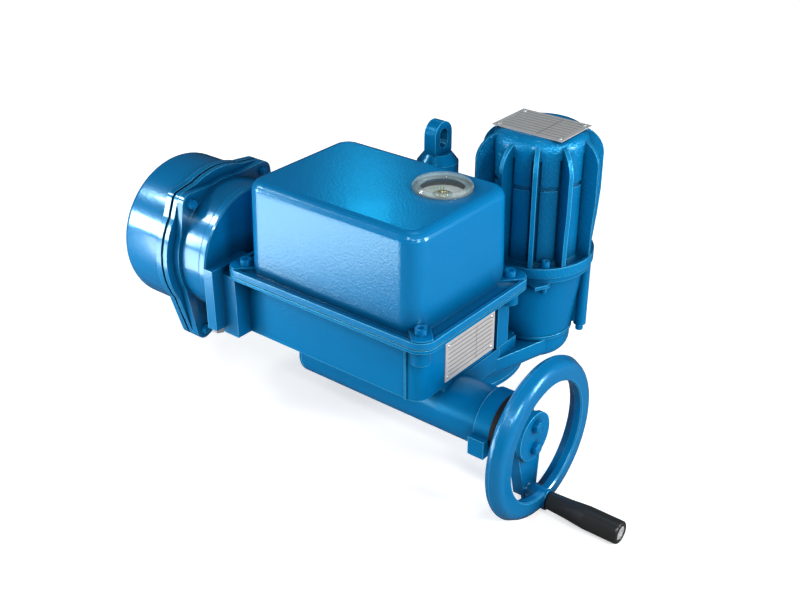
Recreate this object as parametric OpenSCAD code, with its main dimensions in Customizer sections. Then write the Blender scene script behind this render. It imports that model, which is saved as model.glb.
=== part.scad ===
// Electric valve actuator: gear casing with a bolted output flange, control box with a hood and a dial,
// round terminal housing, upright finned motor and a side handwheel.
// The origin is the centre of the output flange's lower face, +Z is up along the output axis,
// +X points along the handwheel shaft to the wheel and -Y is the side with the control box.

/* [Output flange] */
// Diameter of the flange that bolts to the valve
flange_d = 125; // [110:1:140]
// Thickness of the flange
flange_h = 16; // [12:1:20]
// Diameter of the circle through the flange holes
bolt_circle_d = 102; // [96:1:104]
// Diameter of each flange hole
bolt_hole_d = 11; // [9:0.5:12]
// Diameter of the centring spigot under the flange
spigot_d = 70; // [65:1:75]
// Depth of the spigot below the flange face
spigot_h = 3; // [1:0.5:4]
// Diameter of the plain bore of the drive sleeve
stem_bore_d = 40; // [30:1:44]
// Outer diameter of the drive sleeve
sleeve_d = 60; // [56:1:62]
// Width of the keyway in the drive sleeve
keyway_w = 12; // [8:1:14]

/* [Gear casing] */
// Outer radius of the round gear casing
casing_r = 110; // [106:1:114]
// Height of the casing's lower edge above the flange face
casing_z0 = 30; // [28:1:34]
// Height of the casing's upper edge above the flange face
casing_z1 = 86; // [84:1:88]
// Wall of the gear casing
casing_wall = 9; // [6:0.5:10]
// Distance from the output axis to the handwheel shaft
worm_offset = 120; // [118:1:122]
// Height of the handwheel shaft above the flange face
shaft_z = 56.5; // [54:0.5:59]
// Outer radius of the shaft tube
tube_r = 33.8; // [31:0.2:36]
// Where the shaft tube ends on the left
tube_x0 = -83; // [-90:1:-78]
// Where the shaft tube ends on the right
tube_x1 = 167; // [162:1:172]

/* [Control box] */
// Length of the box's rim
rim_l = 286; // [276:1:296]
// Depth of the box's rim
rim_w = 200; // [190:1:206]
// Thickness of the hood's rim
rim_h = 7.5; // [6:0.5:10]
// Height of the rim's top face above the flange face
rim_top_z = 180; // [176:1:184]
// Radius of the rim's corners, also the distance of the screws from the edges
rim_corner_r = 19; // [16:1:22]
// How far the box's walls stand in from the rim
box_inset = 26; // [24:0.5:28]
// Height of the box's floor above the flange face, outside
box_z0 = 88.5; // [88:0.5:90]
// Wall of the box
box_wall = 5; // [4:0.5:6]
// Height of the hood above the rim's top face
hood_h = 107; // [98:1:115]
// Wall of the hood
hood_wall = 5; // [4:0.5:7]
// Distance from the rim's edge to the foot of the hood
hood_inset = 13; // [11:0.5:15]
// Diameter of the window's ring
window_d = 66; // [60:1:72]

/* [Terminal housing] */
// Outer radius of the cap
cap_r = 90; // [89:0.5:92]
// Length of the cap
cap_l = 72; // [64:1:80]
// Height of the housing's axis above the flange face
term_z = 165; // [162:1:168]

/* [Motor] */
// Place of the motor's axis along X
motor_x = 99.5; // [97:0.5:102]
// Gap between the rim of the control box and the motor's foot flange
motor_gap = 0.8; // [0.6:0.2:3]
// Outer radius of the motor's foot flange
motor_flange_r = 69; // [67:0.5:71]
// Height of the motor above its foot
motor_h = 157; // [150:1:165]
// Angle between neighbouring fins at the front and at the back
close_gap = 33; // [31:0.5:35]
// Thickness of each fin
fin_t = 5; // [3:0.5:5]

/* [Handwheel] */
// Outer radius of the wheel's rim
wheel_r = 93; // [88:1:100]
// Width of the rim's section across the radius
wheel_section = 24.5; // [23:0.5:27]
// Depth of the rim's section along the shaft
wheel_depth = 20; // [18:1:22]
// Place of the middle of the rim along the shaft
wheel_x = 228; // [227:1:229]
// Distance from the shaft to the grip's axis
grip_arm = 80; // [77:1:81]
// Length of the turning grip
grip_l = 88; // [80:1:96]
// Largest radius of the grip
grip_r = 13; // [12:0.5:14]

/* [Hidden] */
$fn = 64;

blue = [0.03, 0.36, 0.66];
dark_blue = [0.02, 0.28, 0.54];
steel = [0.62, 0.63, 0.65];
black = [0.06, 0.06, 0.06];
plate_grey = [0.7, 0.69, 0.68];

// Radial clearance of turning fits and air round sealed moving pieces
fit = 0.05;
air = 0.5;
gap = 0.3;

// Shaft line
shaft_y = -worm_offset;
shaft_r = 12;
worm_r = 24;
worm_half = 34;
wheel_gear_r = worm_offset - worm_r - air;
gear_half = 12;
casing_floor = casing_z0 + 4;
cavity_z1 = casing_z1 - casing_wall;
sleeve_h = 89;
neck_r = 44;
belly_r = 48;
belly_z0 = 46;
belly_z1 = casing_z1 - 10;
belly_turn = -15;
belly_l = 110;
cap_ring_t = 25;
seal_r = 36;

// Rim of the control box
wall_x0 = -rim_l / 2 + 13;
wall_x1 = rim_l / 2 - 25;
rim_front = -212;
rim_back = rim_front + rim_w;
rim_cy = rim_front + rim_w / 2;
rim_z0 = rim_top_z - rim_h;
gasket_h = 1;
wall_r = 16;
lip_h = 4;
border_w = 4.5;
groove_h = 3;
box_z1 = rim_z0 - gasket_h;
screw_x = rim_l / 2 - rim_corner_r;
screw_y = rim_w / 2 - rim_corner_r;
box_l = wall_x1 - wall_x0;
box_cx = (wall_x0 + wall_x1) / 2;
box_w = rim_w - 2 * box_inset;
hood_l = rim_l - 2 * hood_inset - 20;
hood_w = rim_w - 2 * hood_inset;
hood_cx = 2;
hood_top_z = rim_top_z + hood_h;
window_x = hood_cx + hood_l / 2 - 57;
window_y = rim_cy + 32.6;
glass_t = 5;
dial_z = hood_top_z - glass_t - 9;
stack_z = rim_top_z + 5;
gear_z = stack_z - 10;
post_r = 9;
pointer_shaft_r = 3.5;
dial_r = window_d / 2 - 6;
dial_t = 2;
gear_t = 5;
stack_h = hood_h - 57;
boss_h = 24;

// Motor
motor_y = rim_back + motor_gap + motor_flange_r;
motor_foot_z = 167.6;
motor_flange_h = 12;
motor_top_z = motor_foot_z + motor_h;
motor_body_r = motor_flange_r - 15.5;
motor_wall = 6;
motor_bolt_r = motor_flange_r - 9.4;
motor_cavity_z1 = motor_top_z - 20;
motor_bore_r = motor_body_r - motor_wall;
fin_curve = 34;
first_fin = -62;
side_gap = (180 - 2 * close_gap) / 3;
half_fins = [0, close_gap, close_gap + side_gap, close_gap + 2 * side_gap, 180 - close_gap];
fin_angles = concat([for (a = half_fins) first_fin + a], [for (a = half_fins) first_fin + 180 + a]);
// The two fins that stand out furthest, to the right and to the left
long_fins = [3, 8];
fin_reach = motor_flange_r + 1.5;
fin_extra = 3.5;
// One bolt stands midway between two fins
motor_bolt_angles = [for (i = [0 : 2 : 8]) (fin_angles[i] + fin_angles[i + 1]) / 2];
long_boss = 1;
plate_l = 90;
plate_w = 64;
stator_z0 = motor_foot_z + 27;
stator_z1 = motor_cavity_z1 - 25;
rotor_r = 30;
rotor_shaft_r = 8;

// The plate on the box as its lower Y, length, lower Z and height
box_plate = [-142, 92, 94, 49];

// Terminal housing
term_y = -140;
term_x1 = -rim_l / 2 - 19;
term_x0 = term_x1 - 50;
term_r = 80;
term_edge_r = 82;
ear_r = 12;
ear_t = 9;
cap_flange_t = 18;
neck_x0 = term_x1 - 2;
neck_split = neck_x0 + 14;
neck_z0 = 97;
neck_z1 = box_z1 - 5.5;
neck_front = rim_front + 5;
plate_front = rim_front - 10;
cap_bore = 73;
cap_x0 = term_x0 - cap_flange_t - cap_l + 9;
groove_x = term_x0 - cap_flange_t + 8;
block_size = [26, 80, 40];
plug_x = term_x1 - 18;
plug_y = term_y - 52;
plug_z = 104;

// Lifting eye
eye_x = -10.3;
eye_y = rim_back + 25;
eye_z = hood_top_z + 15.6;
eye_column_r = 24.3;
eye_foot_z = casing_z1 + 14;
eye_top_z = eye_z - 32.6;

// Grip
grip_angle = -85;
grip_y = shaft_y + grip_arm * cos(grip_angle);
grip_z = shaft_z + grip_arm * sin(grip_angle);
wheel_front = wheel_x + wheel_depth / 2;
grip_x0 = wheel_front + 3;
spindle_r = 5;
hub_x = 216;
hub_x0 = tube_x1 + cap_ring_t + 7;
hub_plate_r = 28;
arm_x = hub_x - 8;
// Section of the wheel's rim as radius and place along the shaft
rim_inner_r = wheel_r - wheel_section;
rim_back_x = wheel_front - wheel_depth;
wheel_profile = concat([[rim_inner_r, wheel_front - 1.5], [rim_inner_r + 1.5, wheel_front]],
    arc(wheel_r - 12, wheel_front - 10, 10, 90, 30, 5), arc(wheel_r - 8, rim_back_x + 8, 8, 0, -90, 6),
    [[rim_inner_r + 8, rim_back_x], [rim_inner_r, wheel_front - 9]]);

// A rectangle with round corners, centred
module round_rect(l, w, r) {
    square([l - 2 * r, w], center = true);
    square([l, w - 2 * r], center = true);
    for (sx = [-1, 1], sy = [-1, 1])
        translate([sx * (l / 2 - r), sy * (w / 2 - r)]) circle(r);
}

// A ring round the Z axis from z0 to z1
module ring(r_out, r_in, z0, z1) {
    translate([0, 0, z0]) difference() {
        cylinder(r = r_out, h = z1 - z0);
        translate([0, 0, -1]) cylinder(r = r_in, h = z1 - z0 + 2);
    }
}

// Children modelled round Z are laid along X, on the line through (y, z)
module along_x(y, z) {
    translate([0, y, z]) rotate([0, 90, 0]) children();
}

// Points of an arc about (cx, cy)
function arc(cx, cy, r, a0, a1, n = 8) =
    [for (i = [0 : n]) let (a = a0 + (a1 - a0) * i / n) [cx + r * cos(a), cy + r * sin(a)]];

// Copies at the four corners of a rectangle
module corners(dx, dy) {
    for (sx = [-1, 1], sy = [-1, 1]) translate([sx * dx, sy * dy, 0]) children();
}

// Output side

module output_flange() {
    color(blue) difference() {
        union() {
            cylinder(d = flange_d, h = flange_h);
            cylinder(r = neck_r, h = casing_z0 - 3);
            translate([0, 0, casing_z0 - 6]) cylinder(r = casing_r, h = 6);
            for (a = [0 : 90 : 270])
                rotate([0, 0, a]) translate([neck_r - 4, -4, flange_h - 2]) cube([30, 8, 10]);
            translate([0, 0, -spigot_h]) cylinder(d = spigot_d, h = spigot_h);
        }
        translate([0, 0, -spigot_h - 1]) cylinder(r = sleeve_d / 2 + 2, h = casing_z0 + spigot_h + 2);
        for (a = [45 : 90 : 315]) rotate([0, 0, a])
            translate([bolt_circle_d / 2, 0, -1]) cylinder(d = bolt_hole_d, h = flange_h + 2);
        translate([0, 0, casing_z0 - 6]) cylinder(r = sleeve_d / 2 + 12, h = 10);
        along_x(shaft_y, shaft_z) translate([0, 0, -casing_r]) cylinder(r = tube_r + air, h = 2 * casing_r);
    }
}

module gear_casing() {
    color(blue) difference() {
        union() {
            translate([0, 0, casing_z0]) cylinder(r = casing_r, h = casing_z1 - casing_z0);
            along_x(shaft_y, shaft_z) translate([0, 0, tube_x0]) cylinder(r = tube_r, h = tube_x1 - tube_x0);
            translate([tube_x0 + 3, shaft_y - 22, 62]) cube([wall_x1 - tube_x0 - 3, 140, box_z0 - 62]);
            translate([60, shaft_y - 7, 62]) cube([wall_x1 - 60 + 1, 90, box_z0 - 62]);
            translate([motor_x, motor_y, 0]) rotate_extrude() polygon(concat([[0, belly_z0]],
                arc(belly_r - 18, belly_z0 + 18, 18, -90, 0, 8), [[belly_r, belly_z1], [0, belly_z1]]));
            belly_wing();
            translate([eye_x + 6.3, eye_y - 8, casing_z1 - 1])
                cylinder(r = 42, h = eye_foot_z - casing_z1 + 1);
        }
        translate([0, 0, casing_z0 - 1]) cylinder(r = casing_r - casing_wall, h = cavity_z1 - casing_z0 + 1);
        cylinder(r = sleeve_d / 2 + 18, h = casing_z1 - 2);
        cylinder(r = sleeve_d / 2 + 1, h = sleeve_h + 3);
        along_x(shaft_y, shaft_z) translate([0, 0, tube_x0 - 1])
            cylinder(r = worm_r + 2, h = tube_x1 - tube_x0 + 2);
        translate([motor_x, motor_y, belly_z0 + 8]) cylinder(r = belly_r - 14, h = 60);
        box_seat();
        translate([motor_x, motor_y, belly_z1]) cylinder(r = belly_r + 2 + gap, h = 60);
    }
}

// The space of the control box above its floor, taken off the tube and its cover
module box_seat() {
    translate([wall_x0 - 5, rim_front, box_z0]) cube([wall_x1 - wall_x0 + 5, rim_w - box_inset + 1, 20]);
}

// The foot of the casing between the motor's pot and the shaft tube, with a round lower edge
module belly_wing() {
    reach = belly_r - 3;
    floor_z = belly_z0 + 1.7;
    bend = 15;
    translate([motor_x, motor_y, 0]) rotate([0, 0, belly_turn]) rotate([90, 0, 0]) linear_extrude(belly_l)
        polygon(concat([[-60, floor_z]], arc(reach - bend, floor_z + bend, bend, -90, 0, 8),
            [[reach, belly_z1 - 1], [-60, belly_z1 - 1]]));
}

module drive_sleeve() {
    color(steel) difference() {
        translate([0, 0, 1]) cylinder(d = sleeve_d, h = sleeve_h);
        cylinder(d = stem_bore_d, h = sleeve_h + 2);
        translate([0, -keyway_w / 2, 0]) cube([stem_bore_d / 2 + 4, keyway_w, sleeve_h + 2]);
    }
}

module worm_wheel() {
    color([0.72, 0.55, 0.2]) ring(wheel_gear_r, sleeve_d / 2, shaft_z - gear_half, shaft_z + gear_half);
}

module sleeve_bearing_lower() {
    color(steel) ring(sleeve_d / 2 + 12, sleeve_d / 2 + fit, casing_z0 - 6, casing_z0 + 6);
}

module sleeve_bearing_upper() {
    color(steel) ring(sleeve_d / 2 + 18, sleeve_d / 2 + fit, cavity_z1, casing_z1 - 2);
}

module worm_shaft() {
    color(steel) along_x(shaft_y, shaft_z) {
        translate([0, 0, tube_x0 + 12]) cylinder(r = shaft_r, h = hub_x - tube_x0 - 12);
        translate([0, 0, -worm_half]) cylinder(r = worm_r, h = 2 * worm_half);
    }
}

module worm_bearing_left() {
    color(steel) along_x(shaft_y, shaft_z) ring(worm_r + 2, shaft_r + fit, tube_x0 + 8, tube_x0 + 22);
}

module worm_bearing_right() {
    color(steel) along_x(shaft_y, shaft_z) ring(worm_r + 2, shaft_r + fit, tube_x1 - 24, tube_x1 - 8);
}

module tube_end_cover() {
    color(blue) difference() {
        along_x(shaft_y, shaft_z) translate([0, 0, tube_x0 - 8]) {
            cylinder(r1 = tube_r - 7, r2 = tube_r, h = 5);
            translate([0, 0, 5]) cylinder(r = tube_r, h = 3);
        }
        box_seat();
    }
}

module bearing_cap() {
    color(blue) difference() {
        union() {
            along_x(shaft_y, shaft_z) translate([0, 0, tube_x1]) rotate_extrude()
                polygon([[0, 0], [tube_r + 3, 0], [tube_r + 3, cap_ring_t - 1.5], [tube_r + 1.5, cap_ring_t],
                    [0, cap_ring_t]]);
            translate([tube_x1, shaft_y - tube_r - 12, shaft_z - 20]) cube([20, 20, 22]);
        }
        along_x(shaft_y, shaft_z) translate([0, 0, tube_x1 - 1])
            cylinder(r = shaft_r + 8, h = cap_ring_t + 2);
    }
}

module shaft_seal() {
    color(black) along_x(shaft_y, shaft_z) difference() {
        union() {
            translate([0, 0, tube_x1 + 10]) cylinder(r = shaft_r + 8, h = cap_ring_t - 10);
            translate([0, 0, tube_x1 + cap_ring_t]) cylinder(r = seal_r, h = 4);
        }
        translate([0, 0, tube_x1]) cylinder(r = shaft_r + fit, h = cap_ring_t + 10);
    }
}

// Handwheel

module handwheel() {
    color(blue) difference() {
        union() {
            along_x(shaft_y, shaft_z) {
                rotate_extrude() polygon(wheel_profile);
                translate([0, 0, hub_x0]) cylinder(r = 22, h = hub_x - hub_x0 - 2);
            }
            translate([0, shaft_y, shaft_z]) rotate([grip_angle, 0, 0]) {
                rotate([0, 90, 0]) translate([0, 0, arm_x + 4]) linear_extrude(4) {
                    arm_outline(0);
                    circle(hub_plate_r - 2);
                }
                rotate([0, 90, 0]) translate([0, 0, arm_x - 6]) linear_extrude(10.5) difference() {
                    arm_outline(0);
                    arm_outline(4);
                }
                translate([0, grip_arm, 0]) rotate([0, 90, 0]) translate([0, 0, hub_x - 4])
                    cylinder(r = 12, h = grip_x0 - hub_x + 3);
            }
        }
        along_x(shaft_y, shaft_z) translate([0, 0, tube_x1]) cylinder(r = shaft_r, h = 100);
        along_x(grip_y, grip_z) translate([0, 0, hub_x - 10]) cylinder(r = spindle_r, h = 60);
    }
}

// The wheel's arm from the hub to the rim, seen along the shaft and drawn along Y
module arm_outline(inset) {
    polygon([[-25 + inset, 0], [25 - inset, 0], [12 - inset, wheel_r - 14], [-12 + inset, wheel_r - 14]]);
}

module hub_plate() {
    color(blue) along_x(shaft_y, shaft_z) translate([0, 0, hub_x]) cylinder(r = hub_plate_r, h = 6);
}

module hub_bolts() {
    color(dark_blue) for (s = [-1, 1]) translate([hub_x + 6, shaft_y, shaft_z + s * hub_plate_r / 2])
        rotate([0, 90, 0]) cylinder(r = 7, h = 6, $fn = 6);
}

module grip_spindle() {
    color(steel) along_x(grip_y, grip_z) {
        translate([0, 0, hub_x - 3]) cylinder(r = spindle_r, h = grip_x0 - hub_x + grip_l - 2);
        translate([0, 0, grip_x0 + grip_l - 6.5]) cylinder(r = 8, h = 3);
    }
}

module grip() {
    color(black) along_x(grip_y, grip_z) difference() {
        translate([0, 0, grip_x0]) rotate_extrude() polygon(concat(
            [[0, 0], [9, 0], [10, 1], [11, 24], [grip_r, 46], [grip_r, grip_l - 3]],
            arc(grip_r - 3, grip_l - 3, 3, 0, 90, 4), [[0, grip_l]]));
        translate([0, 0, grip_x0 - 1]) cylinder(r = spindle_r + fit, h = grip_l + 2);
        translate([0, 0, grip_x0 + grip_l - 7]) cylinder(r = 8.5, h = 20);
    }
}

// Control box

module control_box() {
    color(blue) difference() {
        union() {
            translate([box_cx, rim_cy, box_z0]) linear_extrude(box_z1 - box_z0) {
                round_rect(box_l, box_w, wall_r);
                translate([-box_l / 2, -box_w / 2]) square(wall_r);
            }
            translate([0, rim_cy, box_z1 - lip_h]) linear_extrude(lip_h)
                round_rect(rim_l, rim_w, rim_corner_r);
            for (place = [[screw_x, -screw_y], [screw_x, screw_y], [-screw_x, screw_y]])
                translate([place[0], rim_cy + place[1], box_z1 - boss_h]) cylinder(r = 10.5, h = boss_h);
            translate([wall_x1 - 20, rim_cy + box_w / 2 - 7, box_z0 + 2]) cube([22, 22, box_z1 - box_z0 - 2]);
            translate([wall_x1 - wall_r - 4, rim_cy - box_w / 2 - 1.5, box_z0]) cube([3, 6, box_z1 - box_z0]);
        }
        translate([box_cx, rim_cy, box_z0 + box_wall]) linear_extrude(100)
            round_rect(box_l - 2 * box_wall, box_w - 2 * box_wall, wall_r - box_wall);
    }
}

module rim_gasket() {
    color(black) translate([0, rim_cy, box_z1]) linear_extrude(gasket_h) difference() {
        round_rect(rim_l - 1, rim_w - 1, rim_corner_r);
        translate([box_cx, 0]) round_rect(box_l - 2 * box_wall, box_w - 2 * box_wall, wall_r - box_wall);
    }
}

module hood_form(l, w, h, r, edge) {
    hull() {
        linear_extrude(1) round_rect(l, w, r);
        translate([0, 0, h - edge]) corners(l / 2 - r - 2, w / 2 - r - 2) rotate_extrude($fn = 48)
            polygon(concat([[0, 0]], arc(r - edge, 0, edge, 0, 90, 6), [[0, edge]]));
    }
}

// Raised pads at the rim's corners, seen from above
module rim_pads() {
    for (sx = [-1, 1], sy = [-1, 1]) mirror([sx < 0 ? 1 : 0, 0]) mirror([0, sy < 0 ? 1 : 0])
        translate([rim_l / 2, rim_w / 2])
            polygon([[0, 0], [-16, 0], [-42, -24], [-46, -46], [-24, -42], [0, -16]]);
}

module control_hood() {
    color(blue) difference() {
        union() {
            translate([0, rim_cy, rim_z0]) difference() {
                linear_extrude(rim_h) round_rect(rim_l, rim_w, rim_corner_r);
                translate([0, 0, rim_h - groove_h]) linear_extrude(groove_h + 1) difference() {
                    round_rect(rim_l - 2 * border_w, rim_w - 2 * border_w, rim_corner_r - border_w);
                    rim_pads();
                }
            }
            translate([hood_cx, rim_cy, rim_z0 + 2])
                hood_form(hood_l, hood_w, hood_top_z - rim_z0 - 2, 22, 12);
        }
        translate([hood_cx, rim_cy, rim_z0 - 3]) hood_form(hood_l - 2 * hood_wall, hood_w - 2 * hood_wall,
            hood_top_z - hood_wall - rim_z0 + 3, 18, 9);
        translate([window_x, window_y, hood_top_z - 20]) cylinder(d = window_d - 8, h = 40);
    }
}

module hood_screws() {
    color(dark_blue) translate([0, rim_cy, rim_top_z]) corners(screw_x, screw_y) difference() {
        cylinder(r = 6.5, h = 8);
        translate([0, 0, 4]) cylinder(r = 3.4, h = 5, $fn = 6);
    }
}

module window_ring() {
    color([0.75, 0.8, 0.82]) translate([window_x, window_y, hood_top_z]) difference() {
        rotate_extrude() translate([window_d / 2, 0])
            polygon([[-9, 0], [0, 0], [0, 3], [-2, 5.5], [-6, 5.5], [-9, 2.5]]);
        for (a = [0 : 30 : 330]) rotate([0, 0, a]) translate([window_d / 2 + 1.5, 0, 2])
            cylinder(r = 3, h = 5);
    }
}

module window_glass() {
    color([0.85, 0.9, 0.92, 0.4]) translate([window_x, window_y, hood_top_z - glass_t])
        cylinder(d = window_d - 8, h = glass_t);
}

module dial_plate() {
    color("white") translate([window_x, window_y, 0]) ring(dial_r, 5, dial_z - dial_t, dial_z);
}

module dial_pointer() {
    color([0.75, 0.6, 0.25]) translate([window_x, window_y, 0]) {
        translate([0, 0, gear_z + gear_t]) cylinder(r = pointer_shaft_r, h = dial_z + 5 - gear_z - gear_t);
        translate([0, 0, dial_z + 3]) cylinder(r = 9, h = 4, $fn = 6);
        translate([0, -1, dial_z + 2]) cube([22, 2, 2]);
        translate([0, 0, dial_z + 1]) cylinder(r = 12, h = 1);
    }
}

module dial_gear() {
    color([0.72, 0.55, 0.2]) translate([window_x, window_y, 0]) {
        translate([0, 0, gear_z]) cylinder(r = 24, h = gear_t);
    }
}

module control_chassis() {
    color(steel) difference() {
        union() {
            translate([box_cx, rim_cy, box_z0 + box_wall])
                corners(box_l / 2 - box_wall - 18, box_w / 2 - box_wall - 12)
                    cylinder(r = 6, h = stack_z - 4 - box_z0 - box_wall);
            translate([hood_cx, rim_cy, stack_z - 4]) linear_extrude(4)
                round_rect(hood_l - 2 * hood_wall - 24, hood_w - 2 * hood_wall - 20, 10);
            translate([window_x, window_y, stack_z]) cylinder(r = post_r, h = dial_z - dial_t - stack_z);
        }
        translate([window_x, window_y, stack_z - 5]) cylinder(r = pointer_shaft_r + fit, h = hood_h);
    }
}

module limit_switches() {
    color(black) translate([hood_cx - hood_l / 2 + 48, rim_cy - 50, stack_z]) cube([75, 100, stack_h]);
}

module circuit_board() {
    color([0.05, 0.35, 0.15]) translate([hood_cx - hood_l / 2 + 48, rim_cy - 50, stack_z + stack_h])
        cube([75, 100, 2]);
}

// Terminal side

// Where the cap's bolts sit, seen along the axis, as Y and Z from it
bolt_places = [[-58, 70], [60, 72], [-54, -96], [58, -94]];

// A round lug at p joined to the middle circle of radius r by the two common tangents
module lug(p, r) {
    turn = atan2(p[1], p[0]);
    lean = acos((r - ear_r) / norm(p));
    inner = r * 0.97;
    polygon(concat([[0, 0], [inner * cos(turn - lean), inner * sin(turn - lean)]],
        arc(p[0], p[1], ear_r, turn - lean, turn + lean, 8),
        [[inner * cos(turn + lean), inner * sin(turn + lean)]]));
}

// Outline of a joint flange with its four lugs, drawn in Y and Z and extruded along X
module joint_flange(x, t, r) {
    translate([x, term_y, term_z]) rotate([90, 0, 90]) linear_extrude(t) {
        circle(r);
        for (p = bolt_places) lug(p, r);
    }
}

module terminal_housing() {
    color(blue) difference() {
        union() {
            joint_flange(term_x0, ear_t, 84);
            along_x(term_y, term_z) rotate_extrude() polygon([[0, term_x0], [term_r, term_x0],
                [term_r, term_x1 - 12], [term_edge_r, term_x1 - 9], [term_edge_r, term_x1 - 1.5],
                [term_edge_r - 1.5, term_x1], [0, term_x1]]);
            translate([neck_x0, plate_front, neck_z0])
                cube([neck_split - neck_x0, 60, neck_z1 + 8 - neck_z0]);
            translate([neck_split - 3, neck_front, box_z0])
                cube([wall_x0 - neck_split + 3, 100, neck_z1 - box_z0]);
        }
        along_x(term_y, term_z) translate([0, 0, term_x0 - 1])
            cylinder(r = cap_bore - 1, h = term_x1 - term_x0 - 13);
        translate([plug_x, plug_y, plug_z - 40]) cylinder(r = 11 + gap, h = 40);
    }
}

module terminal_cap() {
    color(blue) difference() {
        union() {
            joint_flange(term_x0 - cap_flange_t, 8, 94);
            joint_flange(groove_x + 4, term_x0 - groove_x - 4, 94);
            along_x(term_y, term_z) rotate_extrude() polygon(concat([[0, cap_x0]],
                arc(cap_r - 8, cap_x0 + 8, 8, -90, 0, 6), [[cap_r, term_x0], [0, term_x0]]));
        }
        along_x(term_y, term_z) translate([0, 0, cap_x0 + 6]) cylinder(r = cap_bore, h = 100);
    }
}

module cap_bolts() {
    color(dark_blue) for (p = bolt_places) translate([term_x0 + ear_t, term_y + p[0], term_z + p[1]])
        rotate([0, 90, 0]) cylinder(r = 6, h = 6, $fn = 6);
}

module terminal_block() {
    color(black) translate([term_x1 - 14 - block_size[0] / 2, term_y, term_z]) translate(-block_size / 2)
        cube(block_size);
}

module conduit_plug() {
    color(steel) translate([plug_x, plug_y, 0]) {
        translate([0, 0, plug_z - 14]) cylinder(r = 11, h = 14, $fn = 6);
        translate([0, 0, plug_z - 30]) cylinder(r = 8, h = 16, $fn = 6);
    }
}

// Motor

module motor_adaptor() {
    color(blue) translate([motor_x, motor_y, 0]) difference() {
        union() {
            translate([0, 0, belly_z1])
                cylinder(r1 = belly_r + 0.5, r2 = motor_bolt_r, h = motor_foot_z - belly_z1 - 6);
            translate([0, 0, belly_z1]) cylinder(r = belly_r + 2, h = 4);
            translate([0, 0, motor_foot_z - 6]) cylinder(r = motor_flange_r - 1.5, h = 6);
            for (a = motor_bolt_angles)
                rotate([0, 0, a]) translate([motor_bolt_r, 0, motor_foot_z - 14]) cylinder(r = 7, h = 12);
            rotate([0, 0, motor_bolt_angles[long_boss]]) {
                translate([motor_bolt_r, 0, belly_z1 + 2]) cylinder(r = 7.5, h = 80);
                translate([40, -5, belly_z1 + 6]) cube([motor_bolt_r - 40, 10, 76]);
            }
            translate([0, -motor_flange_r, motor_foot_z - 9]) linear_extrude(4)
                polygon([[0, 12], [45, 1.6], [52, 16], [40, motor_flange_r]]);
        }
        translate([0, 0, belly_z1 - 1]) cylinder(r = belly_r - 14, h = 100);
        for (a = motor_bolt_angles)
            rotate([0, 0, a]) translate([motor_bolt_r, 0, motor_foot_z - 23]) cylinder(r = 3.5 + gap, h = 9);
    }
}

// Outline of one fin from the body out to its edge, drawn as radius and height
module fin_outline(reach) {
    polygon(concat([[30, 3], [motor_flange_r - 1.5, 3], [reach - 2, motor_h * 0.3], [reach, motor_h * 0.5]],
        arc(reach - fin_curve, motor_h - 38, fin_curve, 5, 68, 9),
        [[46, motor_h - 1.5], [30, motor_h - 1.5]]));
}

module motor_cover() {
    color(blue) translate([motor_x, motor_y, motor_foot_z]) difference() {
        union() {
            difference() {
                union() {
                    cylinder(r = motor_flange_r, h = motor_flange_h);
                    rotate_extrude() polygon(concat([[0, 0], [motor_body_r, 0]],
                        arc(motor_body_r - 14, motor_h - 14, 14, 0, 90, 8), [[0, motor_h]]));
                }
                ring(motor_flange_r - 4, motor_body_r + 1, motor_flange_h - 3, motor_flange_h + 1);
                ring(motor_body_r + 2, motor_body_r - 2, 100, 105);
                for (a = fin_angles) rotate([0, 0, a])
                    translate([motor_body_r - 2.5, -fin_t / 2 - 3, motor_flange_h + 2])
                        cube([20, fin_t + 6, motor_h - 36]);
            }
            for (i = [0 : len(fin_angles) - 1]) rotate([0, 0, fin_angles[i]]) rotate([90, 0, 0])
                translate([0, 0, -fin_t / 2]) linear_extrude(fin_t)
                    fin_outline(fin_reach + (i == long_fins[0] || i == long_fins[1] ? fin_extra : 0));
            translate([0, 0, motor_h - 14]) linear_extrude(14) round_rect(plate_l - 8, plate_w - 8, 10);
        }
        translate([0, 0, -1]) cylinder(r = motor_bore_r, h = motor_cavity_z1 - motor_foot_z + 1);
    }
}

module motor_bolts() {
    color(dark_blue) translate([motor_x, motor_y, motor_foot_z + motor_flange_h])
        for (a = motor_bolt_angles) rotate([0, 0, a]) translate([motor_bolt_r, 0, -3]) difference() {
            cylinder(r = 4.6, h = 9);
            translate([0, 0, 5]) cylinder(r = 2.4, h = 6, $fn = 6);
        }
    color(dark_blue) translate([motor_x, motor_y, 0]) {
        for (a = motor_bolt_angles) rotate([0, 0, a]) translate([motor_bolt_r, 0, motor_foot_z - 22])
            cylinder(r = 3.5, h = 8);
        rotate([0, 0, motor_bolt_angles[long_boss]]) translate([motor_bolt_r, 0, belly_z1 - 6])
            cylinder(r = 4.5, h = 8);
    }
}

module stator() {
    color(steel) translate([motor_x, motor_y, 0]) ring(motor_bore_r, rotor_r, stator_z0, stator_z1);
}

module rotor() {
    color(steel) translate([motor_x, motor_y, 0]) {
        translate([0, 0, stator_z0 + 3]) cylinder(r = rotor_r - air, h = stator_z1 - stator_z0 - 6);
        translate([0, 0, belly_z0 + 24])
            cylinder(r = rotor_shaft_r, h = motor_cavity_z1 - 1.6 - belly_z0 - 24);
        translate([0, 0, belly_z0 + 16]) cylinder(r = 16, h = 20);
    }
}

module motor_bearing_lower() {
    color(steel) translate([motor_x, motor_y, stator_z0 - 47]) ring(belly_r - 14, rotor_shaft_r + fit, 0, 12);
}

module motor_bearing_upper() {
    color(steel) translate([motor_x, motor_y, motor_cavity_z1 - 14])
        ring(motor_bore_r, rotor_shaft_r + fit, 0, 12);
}

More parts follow.
